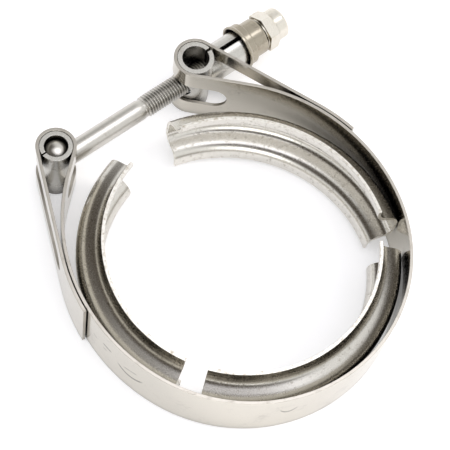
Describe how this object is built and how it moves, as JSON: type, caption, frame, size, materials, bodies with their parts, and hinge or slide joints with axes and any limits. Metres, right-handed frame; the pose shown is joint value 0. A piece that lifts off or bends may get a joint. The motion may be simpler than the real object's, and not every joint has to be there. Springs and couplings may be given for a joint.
{
  "type": "v band clamp",
  "caption": "Stainless steel V-band clamp: slotted folded band with V-section retainer segments inside, closed by a T-bolt, trunnion, rolled sleeve, cup and lock nut.",
  "frame": {"origin": "on the clamp's axis, half way up the band", "axes": "+Z along the axis of the joined pipes, +X along the T-bolt from the T barrel towards the lock nut, +Y from the ring's axis to the bolt"},
  "size_m": [0.1262, 0.1276, 0.0275],
  "materials": {
    "band_steel": "smooth rolled strip, satin outside",
    "segment_steel": "rolled, slightly stained",
    "barrel_steel": "bright rolled plate",
    "bolt_steel": "bright drawn bar",
    "cup_steel": "drawn sheet",
    "nut_steel": "bright machined"
  },
  "bodies": {
    "band": {"band": "band_steel", "left_segment": "segment_steel", "bottom_segment": "segment_steel", "right_segment": "segment_steel"},
    "t_bolt": {"t_bolt": "bolt_steel", "t_barrel": "barrel_steel"},
    "trunnion": {"trunnion_barrel": "barrel_steel", "spacer_sleeve": "barrel_steel"},
    "cup": {"sleeve_cup": "cup_steel"},
    "nut": {"lock_nut": "nut_steel"}
  },
  "joints": [
    {"name": "t_bolt_pivot", "type": "hinge", "parent": "band", "child": "t_bolt", "pos_m": [-0.02945, 0.06015, 0], "axis": [0, 0, 1], "range_deg": [-0.15, 0.15]},
    {"name": "trunnion_pivot", "type": "hinge", "parent": "band", "child": "trunnion", "pos_m": [0.02945, 0.06015, 0], "axis": [0, 0, 1], "range_deg": [-0.3, 0.3]},
    {"name": "cup_travel", "type": "slide", "parent": "t_bolt", "child": "cup", "axis": [1, 0, 0], "range_m": [0, 0.00742]},
    {"name": "nut_spin", "type": "hinge", "parent": "cup", "child": "nut", "pos_m": [0.0594, 0.06015, 0], "axis": [1, 0, 0], "range_deg": [0, 2520]}
  ],
  "couplings": [
    {"joint": "cup_travel", "follows": "nut_spin", "m_per_rad": 0.00016844}
  ]
}
